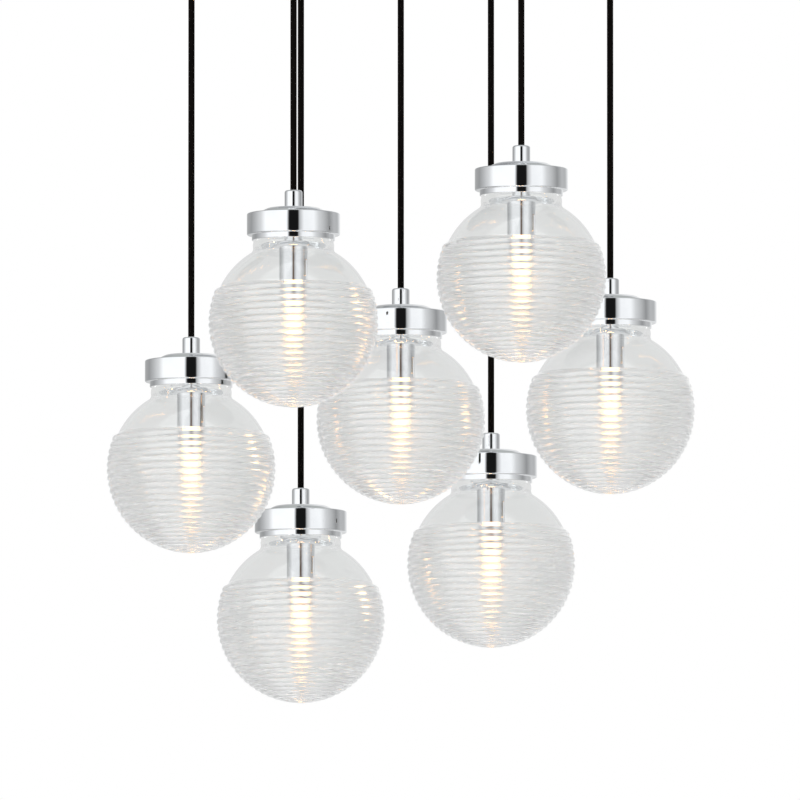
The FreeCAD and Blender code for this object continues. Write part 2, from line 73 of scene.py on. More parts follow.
CAP_RADIUS = 41.1
CAP_WALL = 1.5
CAP_COLLAR_BOTTOM = 72.6
CAP_COLLAR_HEIGHT = 4.6
CAP_COLLAR_WALL = 1.6
CAP_BAND_HEIGHT = 19.3
CAP_EDGE_RADIUS = 1.2
DOME_RADIUS = 29.3
DOME_SHOULDER_RADIUS = 23.0
DOME_HEIGHT = 5.5
DOME_FLAT_RADIUS = 9.0
DOME_SHOULDER_DROP = DOME_HEIGHT * 0.16
DOME_MIDDLE_DROP = DOME_HEIGHT * 0.48
DOME_SWELL = 0.6
DOME_FILLET = 4.0

CORD_RADIUS = 2.8
GRIP_RADIUS = 7.85
GRIP_HEIGHT = 15.1
GRIP_EDGE_RADIUS = 2.0
PIVOT_DEPTH = 8.0
MOUTH_FLARE = 12.0
NIPPLE_RADIUS = 5.0
LAMP_NIPPLE_LENGTH = 13.0
OUTLET_GRIP_RADIUS = 7.0
OUTLET_GRIP_HEIGHT = 15.0
OUTLET_NIPPLE_LENGTH = 8.0

SLEEVE_RADIUS = 12.5
SLEEVE_WALL = 0.8
SLEEVE_BOTTOM = 30.0
FLANGE_RADIUS = 18.5
FLANGE_TOP = 70.0
FLANGE_THICKNESS = 1.5
STEM_RADIUS = 8.0
VENT_WIDTH = 4.6
VENT_BOTTOM = 36.0
VENT_TOP = 56.0
VENT_ANGLE = -32.0
LAMPHOLDER_HEIGHT = 27.0
LEAD_WIRE_RADIUS = 1.0
LEAD_WIRE_SPACING = 2.6
BULB_RADIUS = 7.7
BULB_BOTTOM = -13.0
BULB_TIP = 1.1
BULB_BASE_WIDTH = 14.4
BULB_BASE_THICKNESS = 6.4
BULB_BASE_HEIGHT = 10.0
BULB_BASE_GAP = 0.5
# Neck above the capsule: radius against the bulb's, and height against the lampholder's face
BULB_PINCH = ((0.0, -3.5), (-0.6, -1.2), (-1.4, 1.0))
CORE_RADIUS = 4.8
CORE_BOTTOM = BULB_BOTTOM + 3.5

GAP = 0.3
THREAD_GAP = 0.1
CAP_BAND_BOTTOM = CAP_COLLAR_BOTTOM + CAP_COLLAR_HEIGHT
CAP_BAND_TOP = CAP_BAND_BOTTOM + CAP_BAND_HEIGHT
CAP_TOP = CAP_BAND_TOP + DOME_HEIGHT
CAP_UNDERSIDE = CAP_TOP - CAP_WALL
COLLAR_BORE_RADIUS = NECK_RADIUS + GAP
CORD_BORE_RADIUS = CORD_RADIUS + GAP
LAMP_PIVOT = CAP_TOP + GRIP_HEIGHT - PIVOT_DEPTH
FLANGE_UNDERSIDE = FLANGE_TOP - FLANGE_THICKNESS
SLEEVE_BORE_RADIUS = SLEEVE_RADIUS - SLEEVE_WALL
LAMPHOLDER_BOTTOM = FLANGE_UNDERSIDE - LAMPHOLDER_HEIGHT

# ---- Sizes of the canopy, in millimetres ----

CANOPY_RADIUS = 220.0
CANOPY_HEIGHT = 28.0
CANOPY_WALL = 1.5
CANOPY_EDGE_RADIUS = 6.0
CANOPY_UNDERSIDE = -CANOPY_HEIGHT
CANOPY_FLOOR = CANOPY_UNDERSIDE + CANOPY_WALL
OUTLET_MOUTH = CANOPY_UNDERSIDE - OUTLET_GRIP_HEIGHT
OUTLET_PIVOT = OUTLET_MOUTH + PIVOT_DEPTH

POSITIONS = sorted(name[len("globe_"):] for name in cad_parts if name.startswith("globe_"))


def lamp_centre(position):
    """Centre of a lamp's globe, in metres."""
    low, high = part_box(f"globe_{position}")
    return Vector(((low.x + high.x) / 2, (low.y + high.y) / 2, high.z - RIM_HEIGHT * MM))


WIRE_TOP = (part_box(f"lampholder_{POSITIONS[0]}")[1].z - lamp_centre(POSITIONS[0]).z) / MM

# ---- Outlines ----

def on_circle(centre, radius, angle):
    """The outline point at an angle in degrees on a circle."""
    return (centre[0] + radius * cos(radians(angle)), centre[1] + radius * sin(radians(angle)))


def arc(centre, radius, start, end, steps):
    """Outline points on an arc, both ends included."""
    return [on_circle(centre, radius, start + (end - start) * i / steps) for i in range(steps + 1)]


def rounded(corners, steps=5):
    """Outline through corners (radius, height, fillet), each fillet as an arc; 0 keeps the corner sharp."""
    points = []
    for i, (x, y, fillet) in enumerate(corners):
        if not fillet:
            points.append((x, y))
            continue
        corner = Vector((x, y))
        back = (Vector(corners[i - 1][:2]) - corner).normalized()
        ahead = (Vector(corners[(i + 1) % len(corners)][:2]) - corner).normalized()
        half = back.angle(ahead) / 2
        reach = fillet / tan(half)
        centre = corner + (back + ahead).normalized() * fillet / sin(half)
        first = corner + back * reach - centre
        last = corner + ahead * reach - centre
        start = degrees(atan2(first.y, first.x))
        turn = (degrees(atan2(last.y, last.x)) - start + 180) % 360 - 180
        points += arc(centre, fillet, start, start + turn, steps)
    return points


# ---- Meshes ----

def dressed(mesh, *materials):
    """The mesh with its materials, one for each of its slots."""
    for material in materials:
        mesh.materials.append(material)
    return mesh


def finished_mesh(name, vertices, faces, sharp_angle=35.0):
    """Mesh in metres from millimetre vertices, smooth except at edges sharper than an angle."""
    mesh = bpy.data.meshes.new(name)
    mesh.from_pydata([Vector(v) * MM for v in vertices], [], faces)
    work = bmesh.new()
    work.from_mesh(mesh)
    bmesh.ops.recalc_face_normals(work, faces=work.faces)
    work.to_mesh(mesh)
    work.free()
    mesh.shade_smooth()
    mesh.set_sharp_from_angle(angle=radians(sharp_angle))
    return mesh


def turned(name, outline, columns=96, sharp_angle=35.0):
    """Closed mesh turned about Z from a closed outline that runs clockwise with radius to the right.

    An outline that starts and ends on the axis gets one pole at each end.
    """
    first_on_axis = outline[0][0] < 1e-6
    last_on_axis = outline[-1][0] < 1e-6
    ring_points = outline[1 if first_on_axis else 0:len(outline) - 1 if last_on_axis else len(outline)]
    vertices = []
    for radius, height in ring_points:
        for c in range(columns):
            angle = 2 * pi * c / columns
            vertices.append((radius * cos(angle), radius * sin(angle), height))
    rings = len(ring_points)
    faces = []
    last_ring = rings if not first_on_axis else rings - 1
    for ring in range(last_ring):
        after = (ring + 1) % rings
        for c in range(columns):
            d = (c + 1) % columns
            faces.append((ring * columns + c, after * columns + c, after * columns + d, ring * columns + d))
    if first_on_axis:
        pole = len(vertices)
        vertices.append((0, 0, outline[0][1]))
        faces += [(pole, c, (c + 1) % columns) for c in range(columns)]
    if last_on_axis:
        pole = len(vertices)
        vertices.append((0, 0, outline[-1][1]))
        base = (rings - 1) * columns
        faces += [(base + (c + 1) % columns, base + c, pole) for c in range(columns)]
    return finished_mesh(name, vertices, faces, sharp_angle)


# ---- Shapes of a lamp ----

def rib_rise(share):
    """Height of a rib, 0 to 1, at a share of its width: one arc of a circle, so the grooves are sharp."""
    half_pitch = GLOBE_RADIUS * radians(RIB_TOP_LATITUDE - RIB_BOTTOM_LATITUDE) / RIB_COUNT / 2
    curve = (half_pitch ** 2 + RIB_DEPTH ** 2) / (2 * RIB_DEPTH)
    across = half_pitch * (2 * (share % 1) - 1)
    return (sqrt(curve ** 2 - across ** 2) - curve + RIB_DEPTH) / RIB_DEPTH


def blend(start, corner, end, steps=8):
    """Outline points of a soft corner, without its two ends."""
    points = []
    for i in range(1, steps):
        t = i / steps
        points.append(tuple((1 - t) ** 2 * a + 2 * t * (1 - t) * b + t * t * c
                            for a, b, c in zip(start, corner, end)))
    return points


def globe_mesh():
    """Hollow globe: plain shoulder, round ribs down to the pole, a swelling screw neck and a round lip."""
    crease_latitude = degrees(asin(CREASE_HEIGHT / SHOULDER_RADIUS))
    neck_bore = NECK_RADIUS - NECK_WALL
    bore_latitude = degrees(asin(sqrt(1 - (neck_bore / GLOBE_BORE_RADIUS) ** 2)))
    groove_radius = GLOBE_RADIUS - RIB_DEPTH
    outline = [(0, -groove_radius)]
    pitch = (RIB_TOP_LATITUDE - RIB_BOTTOM_LATITUDE) / RIB_COUNT
    for step in range(RIB_COUNT * RIB_STEPS + 1):
        latitude = RIB_BOTTOM_LATITUDE + pitch * step / RIB_STEPS
        rise = rib_rise(step / RIB_STEPS)
        outline.append(on_circle((0, 0), groove_radius + RIB_DEPTH * rise, latitude))
    shoulder_end = crease_latitude - degrees(CREASE_FILLET / SHOULDER_RADIUS)
    outline += arc((0, 0), SHOULDER_RADIUS, RIB_TOP_LATITUDE + SHOULDER_GAP_DEGREES, shoulder_end, 14)
    swell = (CREASE_HEIGHT + CAP_COLLAR_BOTTOM) / 2
    half_swell = (CAP_COLLAR_BOTTOM - CREASE_HEIGHT) / 2
    neck = []
    neck_steps = 8
    for i in range(neck_steps + 1):
        height = CREASE_HEIGHT + CREASE_FILLET + (2 * half_swell - CREASE_FILLET) * i / neck_steps
        bulge = NECK_BULGE * (1 - ((height - swell) / half_swell) ** 2)
        neck.append((NECK_RADIUS + bulge, height))
    outline += blend(outline[-1], on_circle((0, 0), SHOULDER_RADIUS, crease_latitude), neck[0])
    outline += neck[:-1]
    lip = NECK_WALL / 2
    outline.append((NECK_RADIUS, CAP_COLLAR_BOTTOM))
    outline += arc((NECK_RADIUS - lip, RIM_HEIGHT - lip), lip, 0, 180, 10)
    bore_top = GLOBE_BORE_RADIUS * sin(radians(bore_latitude))
    bore = arc((0, 0), GLOBE_BORE_RADIUS, bore_latitude - degrees(BORE_FILLET / GLOBE_BORE_RADIUS), -90, 60)
    outline.append((neck_bore, (RIM_HEIGHT + bore_top + BORE_FILLET) / 2))
    outline.append((neck_bore, bore_top + BORE_FILLET))
    outline += blend(outline[-1], (neck_bore, bore_top), bore[0])
    outline += bore
    mesh = dressed(turned("globe", outline, columns=128, sharp_angle=60), GLASS, OUTER_GLASS)
    for face in mesh.polygons:
        outside = face.center.length > (GLOBE_BORE_RADIUS + 1) * MM
        face.material_index = int(outside and face.center.z < OUTER_GLASS_TOP * MM)
    return mesh


def cap_mesh():
    """Cap: collar, wide band and shallow dome, one wall thick, with small round edges."""
    edge = CAP_EDGE_RADIUS
    collar = COLLAR_BORE_RADIUS + CAP_COLLAR_WALL
    inner = CAP_RADIUS - CAP_WALL
    shoulder = CAP_TOP - DOME_SHOULDER_DROP
    middle_radius = (DOME_RADIUS + DOME_SHOULDER_RADIUS) / 2 + DOME_SWELL
    hole = NIPPLE_RADIUS + THREAD_GAP
    mesh = turned("cap", rounded([
        (COLLAR_BORE_RADIUS, CAP_COLLAR_BOTTOM, 0.3),
        (collar, CAP_COLLAR_BOTTOM, 0.5),
        (collar, CAP_BAND_BOTTOM, 0.4),
        (CAP_RADIUS, CAP_BAND_BOTTOM, edge),
        (CAP_RADIUS, CAP_BAND_TOP, edge),
        (DOME_RADIUS, CAP_BAND_TOP, 0.6),
        (middle_radius, CAP_TOP - DOME_MIDDLE_DROP, DOME_FILLET),
        (DOME_SHOULDER_RADIUS, shoulder, DOME_FILLET),
        (DOME_FLAT_RADIUS, CAP_TOP, 0),
        (hole, CAP_TOP, 0),
        (hole, CAP_UNDERSIDE, 0),
        (DOME_FLAT_RADIUS, CAP_UNDERSIDE, 0),
        (DOME_SHOULDER_RADIUS - CAP_WALL / 2, shoulder - CAP_WALL, 1.0),
        (DOME_RADIUS - CAP_WALL, CAP_BAND_TOP - CAP_WALL, 0),
        (inner, CAP_BAND_TOP - CAP_WALL, 0.5),
        (inner, CAP_BAND_BOTTOM + CAP_WALL, 0.5),
        (COLLAR_BORE_RADIUS, CAP_BAND_BOTTOM + CAP_WALL, 0.3),
    ]), columns=128, sharp_angle=30)
    return dressed(mesh, CHROME)


def grip_mesh(name, radius, seat, mouth, nipple_end):
    """Cord grip: round-edged body from its seat to its mouth, a flared bore and a hollow nipple."""
    mouth_radius = CORD_BORE_RADIUS + PIVOT_DEPTH * tan(radians(MOUTH_FLARE))
    way = 1 if mouth > seat else -1
    mesh = turned(name, rounded([
        (NIPPLE_RADIUS, seat, 0),
        (radius, seat, 0.25),
        (radius, mouth, GRIP_EDGE_RADIUS),
        (mouth_radius, mouth, 0.5),
        (CORD_BORE_RADIUS, mouth - way * PIVOT_DEPTH, 0),
        (CORD_BORE_RADIUS, nipple_end, 0),
        (NIPPLE_RADIUS, nipple_end, 0.3),
    ], steps=6), columns=64, sharp_angle=30)
    return dressed(mesh, CHROME)


def vent_reach(angle):
    """Height that a vent's round end adds at an angle in degrees from its middle; None beside the vent."""
    half = VENT_WIDTH / 2
    across = SLEEVE_RADIUS * sin(radians(angle))
    if abs(angle) > 90 or abs(across) > half + 1e-6:
        return None
    return sqrt(max(half * half - across * across, 0.0))


def sleeve_mesh():
    """Sleeve with its flange and stem, and a round-ended vent on two opposite sides."""
    edge_angle = degrees(asin(VENT_WIDTH / 2 / SLEEVE_RADIUS))
    in_vent = [edge_angle * sin(radians(90 * i / 6)) for i in range(-6, 7)]
    beside = [edge_angle + (180 - 2 * edge_angle) * i / 30 for i in range(1, 30)]
    half_turn = in_vent + beside
    angles = half_turn + [a + 180 for a in half_turn]
    low = VENT_BOTTOM + VENT_WIDTH / 2
    high = VENT_TOP - VENT_WIDTH / 2
    rim = SLEEVE_WALL / 2
    middle_radius = SLEEVE_RADIUS - rim
    outline = [(SLEEVE_RADIUS, low), (SLEEVE_RADIUS, high)]
    outline += rounded([
        (SLEEVE_RADIUS, FLANGE_UNDERSIDE, 0.3),
        (FLANGE_RADIUS, FLANGE_UNDERSIDE, 0.4),
        (FLANGE_RADIUS, FLANGE_TOP, 0.4),
        (STEM_RADIUS, FLANGE_TOP, 0.3),
        (STEM_RADIUS, CAP_UNDERSIDE, 0),
        (NIPPLE_RADIUS + THREAD_GAP, CAP_UNDERSIDE, 0),
        (NIPPLE_RADIUS + THREAD_GAP, FLANGE_UNDERSIDE, 0),
        (SLEEVE_BORE_RADIUS, FLANGE_UNDERSIDE, 0),
    ], steps=4)
    inner_high = len(outline)
    outline += [(SLEEVE_BORE_RADIUS, high), (SLEEVE_BORE_RADIUS, low)]
    outline += arc((middle_radius, SLEEVE_BOTTOM + rim), rim, 180, 360, 6)
    columns = len(angles)
    rings = len(outline)
    lows, highs = (0, inner_high + 1), (1, inner_high)
    vertices = []
    for ring, (radius, height) in enumerate(outline):
        for angle in angles:
            reach = vent_reach((angle + 90) % 180 - 90) or 0.0
            shift = -reach if ring in lows else reach if ring in highs else 0.0
            turn = radians(angle + VENT_ANGLE)
            vertices.append((radius * cos(turn), radius * sin(turn), height + shift))
    faces = []
    for c in range(columns):
        d = (c + 1) % columns
        open_here = c % len(half_turn) < len(in_vent) - 1
        for ring in range(rings):
            after = (ring + 1) % rings
            if open_here and ring in (0, inner_high):
                continue
            faces.append((ring * columns + c, ring * columns + d, after * columns + d, after * columns + c))
        if open_here:
            for (outer, inside), flip in ((lows, False), (highs, True)):
                outer_row, inside_row = outer * columns, inside * columns
                quad = (outer_row + c, inside_row + c, inside_row + d, outer_row + d)
                faces.append(quad[::-1] if flip else quad)
    for c in (0, len(in_vent) - 1, len(half_turn), len(half_turn) + len(in_vent) - 1):
        quad = (c, columns + c, inner_high * columns + c, (inner_high + 1) * columns + c)
        faces.append(quad if c % len(half_turn) == 0 else quad[::-1])
    return dressed(finished_mesh("sleeve", vertices, faces), SLEEVE_CHROME)


def box_mesh(name, x, y, z0, z1):
    """Box centred on the axis, x by y across, from z0 up to z1."""
    sides = ((-1, -1), (1, -1), (1, 1), (-1, 1))
    corners = [(sx * x / 2, sy * y / 2, z) for z in (z0, z1) for sx, sy in sides]
    faces = [(0, 1, 5, 4), (1, 2, 6, 5), (2, 3, 7, 6), (3, 0, 4, 7), (3, 2, 1, 0), (4, 5, 6, 7)]
    return finished_mesh(name, corners, faces)


def joined(name, parts):
    """One mesh of several, each with its own material slot."""
    work = bmesh.new()
    for index, part in enumerate(parts):
        start = len(work.faces)
        work.from_mesh(part)
        work.faces.ensure_lookup_table()
        for face in work.faces[start:]:
            face.material_index = index
    mesh = bpy.data.meshes.new(name)
    work.to_mesh(mesh)
    work.free()
    return mesh


def lampholder_mesh():
    """Ceramic body with a round-edged face, the pocket for the bulb's base and two wires up the nipple."""
    radius = SLEEVE_BORE_RADIUS - GAP
    pocket_top = LAMPHOLDER_BOTTOM + BULB_BASE_HEIGHT + GAP
    body = turned("holder", rounded([
        (0, FLANGE_UNDERSIDE, 0),
        (0, pocket_top, 0),
        (BULB_RADIUS + GAP, pocket_top, 0.4),
        (BULB_RADIUS + GAP, LAMPHOLDER_BOTTOM, 0.6),
        (radius, LAMPHOLDER_BOTTOM, 1.0),
        (radius, FLANGE_UNDERSIDE, 0.5),
    ]), columns=48)
    wires = []
    wire_bottom = FLANGE_UNDERSIDE - 2
    for side in (-1, 1):
        wire = turned("wire", [
            (0, wire_bottom),
            (0, WIRE_TOP),
            (LEAD_WIRE_RADIUS, WIRE_TOP),
            (LEAD_WIRE_RADIUS, wire_bottom),
        ], columns=20)
        wire.transform(Matrix.Translation((side * LEAD_WIRE_SPACING / 2 * MM, 0, 0)))
        wires.append(wire)
    return dressed(joined("lampholder", [body, *wires]), CERAMIC, CORD, CORD)


def bulb_mesh():
    """Capsule with a pip at its round end and a pinched neck, the bright core in it, and the flat base."""
    outline = [(0, BULB_BOTTOM), (BULB_TIP * 0.75, BULB_BOTTOM + 0.25)]
    outline += arc((0, BULB_BOTTOM + BULB_RADIUS + BULB_TIP * 0.3), BULB_RADIUS, -78, 0, 10)
    outline += [(BULB_RADIUS + across, LAMPHOLDER_BOTTOM + up) for across, up in BULB_PINCH]
    outline.append((0, outline[-1][1]))
    capsule = turned("capsule", outline, columns=48, sharp_angle=40)
    core_end = arc((0, CORE_BOTTOM + CORE_RADIUS), CORE_RADIUS, -80, 0, 6)
    core_outline = [(0, CORE_BOTTOM), *core_end, (CORE_RADIUS, LAMPHOLDER_BOTTOM), (0, LAMPHOLDER_BOTTOM)]
    core = turned("core", core_outline, columns=32, sharp_angle=40)
    base = box_mesh("base", BULB_BASE_WIDTH, BULB_BASE_THICKNESS, LAMPHOLDER_BOTTOM + BULB_BASE_GAP,
                    LAMPHOLDER_BOTTOM + BULB_BASE_HEIGHT)
    return dressed(joined("bulb", [capsule, core, base]), BULB, BULB_CORE, CERAMIC)


# ---- Canopy ----

def canopy_mesh():
    """Round pan, open towards the ceiling, with a rolled inner edge."""
    edge = CANOPY_EDGE_RADIUS
    inner = CANOPY_RADIUS - CANOPY_WALL
    mesh = turned("canopy", rounded([
        (0, CANOPY_UNDERSIDE, 0),
        (CANOPY_RADIUS, CANOPY_UNDERSIDE, edge),
        (CANOPY_RADIUS, 0, 0.4),
        (inner, 0, 0.4),
        (inner, CANOPY_FLOOR, edge - CANOPY_WALL),
        (0, CANOPY_FLOOR, 0),
    ], steps=12), columns=160, sharp_angle=30)
    return dressed(mesh, CHROME)


# ---- Materials ----

RIB_HAZE = 0.15
HAZE_FADE = 0.003
GLASS_IOR = 1.45
COAT_IOR = 1.5
WAVE_DEPTH = 0.08
# Painted light: where light has been mirrored this many times in a wall of glass, the glass glows the
# studio's mean grey
TRAPPED_MIRRORINGS = 4
TRAPPED_LIGHT = 0.34
# Distances in metres that tell the surfaces of a lamp apart: across a wall of glass, from the sleeve to the
# bulb, and from the globe to its own bulb rather than a neighbour's
WALL_REACH = 0.020
SLEEVE_REACH = 0.030
LAMP_REACH = 0.088
GLINT_HUE = (1.0, 0.52, 0.20)
GLINT_IN_CHROME = 0.9


def node_adder(tree):
    """A function that adds a node to the tree, with its settings and the values of its sockets."""
    def add(kind, **inputs):
        node = tree.nodes.new(kind)
        for key, value in inputs.items():
            if key in node.bl_rna.properties:
                setattr(node, key, value)
            else:
                node.inputs[key.replace("_", " ")].default_value = value
        return node

    return add


def new_material(name):
    """Material with its node tree, its shader and a function that adds nodes."""
    material = bpy.data.materials.new(name)
    material.use_nodes = True
    tree = material.node_tree
    return material, tree, tree.nodes["Principled BSDF"], node_adder(tree)


def calculated(tree, operation, *values):
    """Result of an operation on numbers and the outputs of other nodes."""
    node = tree.nodes.new("ShaderNodeMath")
    node.operation = operation
    for socket, value in zip(node.inputs, values):
        if isinstance(value, (int, float)):
            socket.default_value = value
        else:
            tree.links.new(value, socket)
    return node.outputs[0]


def at_least(tree, depth, count):
    """1 where a ray has met that many surfaces of a kind or more, else 0."""
    return calculated(tree, "GREATER_THAN", depth, count - 0.5)


def fewer_than(tree, depth, count):
    """1 where a ray has met fewer surfaces of a kind, else 0."""
    return calculated(tree, "LESS_THAN", depth, count - 0.5)


def noise(tree, add, scale, detail=2.0):
    """Noise texture on object coordinates."""
    place = add("ShaderNodeTexCoord")
    texture = add("ShaderNodeTexNoise", Scale=scale, Detail=detail)
    tree.links.new(place.outputs["Object"], texture.inputs["Vector"])
    return texture


def spread(tree, add, source, low, high):
    """Maps a noise's middle range to low..high."""
    mapped = add("ShaderNodeMapRange", From_Min=0.3, From_Max=0.7, To_Min=low, To_Max=high)
    tree.links.new(source, mapped.inputs["Value"])
    return mapped.outputs["Result"]


def tint(tree, add, shader, source, dark, light):
    """Base colour between two colours by a noise."""
    ramp = add("ShaderNodeValToRGB")
    ramp.color_ramp.elements[0].position = 0.35
    ramp.color_ramp.elements[1].position = 0.65
    ramp.color_ramp.elements[0].color = (*dark, 1)
    ramp.color_ramp.elements[1].color = (*light, 1)
    tree.links.new(source, ramp.inputs["Fac"])
    tree.links.new(ramp.outputs["Color"], shader.inputs["Base Color"])


def bump(tree, add, shader, height, distance, strength=1.0):
    """Bump from a height, distance in millimetres."""
    node = add("ShaderNodeBump", Strength=strength, Distance=distance * MM)
    tree.links.new(height, node.inputs["Height"])
    tree.links.new(node.outputs["Normal"], shader.inputs["Normal"])


def chrome_material(name, low, high):
    """Polished chrome plate: a faint bluish tint, with slight haze in patches."""
    material, tree, shader, add = new_material(name)
    shader.inputs["Metallic"].default_value = 1.0
    haze = noise(tree, add, 60.0, 4.0)
    tint(tree, add, shader, haze.outputs["Fac"], (0.80, 0.815, 0.835), (0.84, 0.85, 0.865))
    tree.links.new(spread(tree, add, haze.outputs["Fac"], low, high), shader.inputs["Roughness"])
    return material


def glass_material(name, coat):
    """Clear pressed glass with the slight waves of a mould, and a little haze over the ribs.

    Light that a globe would mirror from afar passes through it: caps and sleeves reflect the studio past it.
    """
    material, tree, shader, add = new_material(name)
    calc = partial(calculated, tree)
    shader.inputs["Transmission Weight"].default_value = 1.0
    shader.inputs["IOR"].default_value = GLASS_IOR
    shader.inputs["Coat Weight"].default_value = coat
    shader.inputs["Coat IOR"].default_value = COAT_IOR
    shader.inputs["Coat Roughness"].default_value = 0.0
    place = add("ShaderNodeTexCoord")
    split = add("ShaderNodeSeparateXYZ")
    tree.links.new(place.outputs["Object"], split.inputs["Vector"])
    rib_top = GLOBE_RADIUS * sin(radians(RIB_TOP_LATITUDE)) * MM
    haze = add("ShaderNodeMapRange", From_Min=rib_top, From_Max=rib_top - HAZE_FADE, To_Min=0.0,
               To_Max=RIB_HAZE)
    tree.links.new(split.outputs["Z"], haze.inputs["Value"])
    tree.links.new(haze.outputs["Result"], shader.inputs["Roughness"])
    waves = noise(tree, add, 35.0, 1.0)
    tint(tree, add, shader, waves.outputs["Fac"], (0.975, 0.985, 0.98), (0.985, 0.99, 0.987))
    bump(tree, add, shader, waves.outputs["Fac"], WAVE_DEPTH, 0.5)
    ray = add("ShaderNodeLightPath")
    # Painted light: the glass itself glows a flat grey where a ray has been mirrored inside it that many
    # times or more
    trapped = at_least(tree, ray.outputs["Glossy Depth"], TRAPPED_MIRRORINGS)
    shader.inputs["Emission Color"].default_value = (1, 1, 1, 1)
    tree.links.new(calc("MULTIPLY", trapped, TRAPPED_LIGHT), shader.inputs["Emission Strength"])
    not_through = calc("SUBTRACT", 1.0, ray.outputs["Is Transmission Ray"])
    mirrored = calc("MULTIPLY", ray.outputs["Is Glossy Ray"], not_through)
    from_afar = calc("GREATER_THAN", ray.outputs["Ray Length"], WALL_REACH)
    in_air = calc("SUBTRACT", 1.0, add("ShaderNodeNewGeometry").outputs["Backfacing"])
    passed = calc("MULTIPLY", mirrored, calc("MAXIMUM", from_afar, in_air))
    tree.links.new(calc("SUBTRACT", 1.0, passed), shader.inputs["Alpha"])
    return material


def bulb_material(name, alpha, seen, seen_level, glint_level):
    """Lit glass of the bulb: warm white, and more orange and brighter in the glints of its own globe."""
    material, tree, shader, add = new_material(name)
    calc = partial(calculated, tree)
    shader.inputs["Base Color"].default_value = (1.0, 0.9, 0.75, 1)
    ray = add("ShaderNodeLightPath")
    length = ray.outputs["Ray Length"]
    through = ray.outputs["Transmission Depth"]
    reflected = at_least(tree, ray.outputs["Glossy Depth"], 1)
    inside = at_least(tree, through, 1)
    direct = calc("SUBTRACT", 1.0, reflected)
    beyond_sleeve = calc("GREATER_THAN", length, SLEEVE_REACH)
    own_lamp = calc("MULTIPLY", calc("LESS_THAN", length, LAMP_REACH),
                    fewer_than(tree, ray.outputs["Transparent Depth"], 2))
    in_glass = calc("MULTIPLY", calc("MULTIPLY", reflected, inside),
                    calc("MULTIPLY", beyond_sleeve, own_lamp))
    elsewhere = calc("SUBTRACT", reflected, in_glass)
    seen_light = calc("MULTIPLY", calc("MULTIPLY", direct, fewer_than(tree, through, 3)), seen_level)
    glint_light = calc("ADD", calc("MULTIPLY", in_glass, glint_level),
                       calc("MULTIPLY", elsewhere, GLINT_IN_CHROME))
    tree.links.new(calc("ADD", seen_light, glint_light), shader.inputs["Emission Strength"])
    outside_glass = calc("MULTIPLY", reflected, calc("SUBTRACT", 1.0, inside))
    tree.links.new(calc("MULTIPLY", calc("SUBTRACT", 1.0, outside_glass), alpha), shader.inputs["Alpha"])
    hue = add("ShaderNodeMix", data_type="RGBA")
    tree.links.new(direct, hue.inputs["Factor"])
    hue.inputs["A"].default_value = (*GLINT_HUE, 1)
    hue.inputs["B"].default_value = (*seen, 1)
    tree.links.new(hue.outputs["Result"], shader.inputs["Emission Color"])
    waves = noise(tree, add, 80.0, 1.0)
    tree.links.new(spread(tree, add, waves.outputs["Fac"], 0.25, 0.35), shader.inputs["Roughness"])
    return material


def cord_material():
    """Matt black sheath with a fine lengthwise drawing texture."""
    material, tree, shader, add = new_material("cord_sheath")
    place = add("ShaderNodeTexCoord")
    stretch = add("ShaderNodeMapping")
    stretch.inputs["Scale"].default_value = (1.0, 1.0, 0.08)
    grain = add("ShaderNodeTexNoise", Scale=900.0, Detail=3.0)
    tree.links.new(place.outputs["Object"], stretch.inputs["Vector"])
    tree.links.new(stretch.outputs["Vector"], grain.inputs["Vector"])
    tint(tree, add, shader, grain.outputs["Fac"], (0.003, 0.0022, 0.0018), (0.008, 0.006, 0.005))
    tree.links.new(spread(tree, add, grain.outputs["Fac"], 0.8, 0.95), shader.inputs["Roughness"])
    shader.inputs["Specular IOR Level"].default_value = 0.06
    bump(tree, add, shader, grain.outputs["Fac"], 0.03, 0.5)
    return material


def zinc_material():
    """Bright zinc-plated steel, slightly mottled."""
    material, tree, shader, add = new_material("zinc_plate")
    shader.inputs["Metallic"].default_value = 1.0
    spangle = noise(tree, add, 220.0, 5.0)
    tint(tree, add, shader, spangle.outputs["Fac"], (0.50, 0.52, 0.55), (0.66, 0.67, 0.69))
    tree.links.new(spread(tree, add, spangle.outputs["Fac"], 0.28, 0.42), shader.inputs["Roughness"])
    bump(tree, add, shader, spangle.outputs["Fac"], 0.03, 0.4)
    return material


def brass_material():
    """Plain brass screws, slightly dulled."""
    material, tree, shader, add = new_material("brass_screw")
    shader.inputs["Metallic"].default_value = 1.0
    dulling = noise(tree, add, 400.0, 3.0)
    tint(tree, add, shader, dulling.outputs["Fac"], (0.62, 0.44, 0.18), (0.78, 0.60, 0.30))
    tree.links.new(spread(tree, add, dulling.outputs["Fac"], 0.22, 0.4), shader.inputs["Roughness"])
    return material


def plastic_material():
    """Off-white moulded plastic with a fine spark-eroded grain."""
    material, tree, shader, add = new_material("block_plastic")
    grain = noise(tree, add, 1500.0, 3.0)
    tint(tree, add, shader, grain.outputs["Fac"], (0.66, 0.65, 0.60), (0.74, 0.73, 0.69))
    tree.links.new(spread(tree, add, grain.outputs["Fac"], 0.4, 0.55), shader.inputs["Roughness"])
    bump(tree, add, shader, grain.outputs["Fac"], 0.05, 0.5)
    return material


def ceramic_material():
    """Unglazed white ceramic."""
    material, tree, shader, add = new_material("ceramic")
    grain = noise(tree, add, 900.0, 5.0)
    tint(tree, add, shader, grain.outputs["Fac"], (0.74, 0.71, 0.66), (0.82, 0.80, 0.76))
    tree.links.new(spread(tree, add, grain.outputs["Fac"], 0.6, 0.8), shader.inputs["Roughness"])
    bump(tree, add, shader, grain.outputs["Fac"], 0.08, 0.6)
    return material


